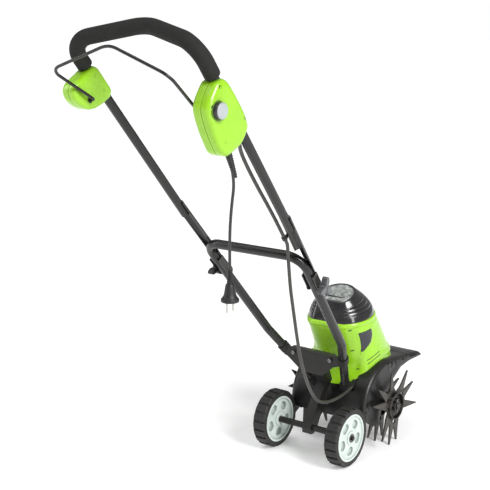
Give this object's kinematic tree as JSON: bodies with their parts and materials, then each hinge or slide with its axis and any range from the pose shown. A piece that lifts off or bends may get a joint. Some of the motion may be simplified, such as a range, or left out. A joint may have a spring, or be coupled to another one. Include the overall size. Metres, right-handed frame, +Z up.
{
  "type": "electric tiller",
  "caption": "Walk-behind electric garden tiller with spiked tine stars, a domed motor cover, folding tube handle, switch box and support wheels.",
  "frame": {"origin": "on the ground below the middle of the machine, on its middle plane", "axes": "+X towards the tines, the way the machine works forward from its operator; +Y to the operator's left; +Z up"},
  "size_m": [1.0251, 0.3575, 1.046],
  "materials": {
    "charcoal_tube": "satin",
    "black_steel": "satin",
    "hood_grey": "satin",
    "zinc": "brushed",
    "alloy": "cast",
    "gear_steel": "machined",
    "lime": "gloss",
    "cap_dark": "gloss",
    "foam": "matt",
    "rubber": "matt",
    "tyre": "matt",
    "rim": "satin",
    "knob": "satin",
    "button": "satin",
    "switch": "matt",
    "copper": "bright",
    "pins": "bright",
    "laminations": "stacked",
    "fan": "matt",
    "grille": "matt"
  },
  "bodies": {
    "chassis": {"lower_handle": "charcoal_tube", "leg_collars": "black_steel", "handle_bracket": "black_steel", "bracket_bolts": "zinc", "arm_pin": "zinc", "shaft_bearings": "gear_steel", "shaft_seals": "rubber", "gearbox_left": "alloy", "gearbox_right": "alloy", "motor_frame": "laminations", "motor_bearings": "gear_steel", "stator": "laminations", "field_coils": "copper", "brush_holders": "switch", "tine_hood": "hood_grey", "motor_cover": "lime", "motor_cap": "cap_dark", "cap_grille": "grille", "fold_bolts": "zinc", "motor_cable_lower": "rubber"},
    "handle": {"upper_handle": "charcoal_tube", "grip_foam": "foam", "left_cover_inner": "lime", "left_cover_outer": "lime", "switch_box_inner": "lime", "switch_box_outer": "lime", "bail_spring": "gear_steel", "micro_switch": "switch", "lead_boot": "rubber", "plug_lead": "rubber", "plug_body": "rubber", "plug_pins": "pins", "motor_cable_upper": "rubber", "cable_clip": "rubber"},
    "bail": {"bail": "charcoal_tube"},
    "lock_button": {"lock_button": "button"},
    "knob_left": {"knob_left": "knob"},
    "knob_right": {"knob_right": "knob"},
    "wheel_arm": {"wheel_arm": "black_steel", "axle": "black_steel", "axle_spacers": "black_steel", "axle_clips": "zinc"},
    "wheel_left": {"tyre_left": "tyre", "rim_left": "rim"},
    "wheel_right": {"tyre_right": "tyre", "rim_right": "rim"},
    "tines": {"tine_shaft": "black_steel", "star_left_outer": "black_steel", "star_left_inner": "black_steel", "star_right_outer": "black_steel", "star_right_inner": "black_steel", "hitch_pins": "zinc", "worm_wheel": "gear_steel"},
    "rotor": {"motor_shaft": "gear_steel", "armature": "laminations", "commutator": "copper", "fan": "fan"}
  },
  "joints": [
    {"name": "handle_fold", "type": "hinge", "parent": "chassis", "child": "handle", "pos_m": [-0.0198, 0, 0.478], "axis": [0, 1, 0], "range_deg": [0, 120]},
    {"name": "bail_pull", "type": "hinge", "parent": "handle", "child": "bail", "pos_m": [-0.41903, 0, 0.88965], "axis": [0, 1, 0], "range_deg": [0, 26], "stiffness_Nm_per_rad": 0.6, "springref_deg": -34.38},
    {"name": "button_press", "type": "slide", "parent": "handle", "child": "lock_button", "axis": [0, 1, 0], "range_m": [0, 0.006], "stiffness_N_per_m": 300, "springref_m": -0.004},
    {"name": "knob_left_turn", "type": "hinge", "parent": "chassis", "child": "knob_left", "pos_m": [-0.0198, 0, 0.478], "axis": [0, 1, 0], "continuous": true},
    {"name": "knob_right_turn", "type": "hinge", "parent": "chassis", "child": "knob_right", "pos_m": [-0.0198, 0, 0.478], "axis": [0, 1, 0], "continuous": true},
    {"name": "wheel_arm_swing", "type": "hinge", "parent": "chassis", "child": "wheel_arm", "pos_m": [0.191, 0, 0.221], "axis": [0, 1, 0], "range_deg": [0, 30]},
    {"name": "wheel_left_spin", "type": "hinge", "parent": "wheel_arm", "child": "wheel_left", "pos_m": [0.153, 0, 0.07075], "axis": [0, 1, 0], "continuous": true},
    {"name": "wheel_right_spin", "type": "hinge", "parent": "wheel_arm", "child": "wheel_right", "pos_m": [0.153, 0, 0.07075], "axis": [0, 1, 0], "continuous": true},
    {"name": "tine_spin", "type": "hinge", "parent": "chassis", "child": "tines", "pos_m": [0.341, 0, 0.097], "axis": [0, 1, 0], "continuous": true},
    {"name": "rotor_spin", "type": "hinge", "parent": "chassis", "child": "rotor", "pos_m": [0.36648, 0, 0.10653], "axis": [-0.3502, 0, 0.9367], "continuous": true}
  ],
  "couplings": [
    {"joint": "rotor_spin", "follows": "tine_spin", "ratio": 27}
  ]
}
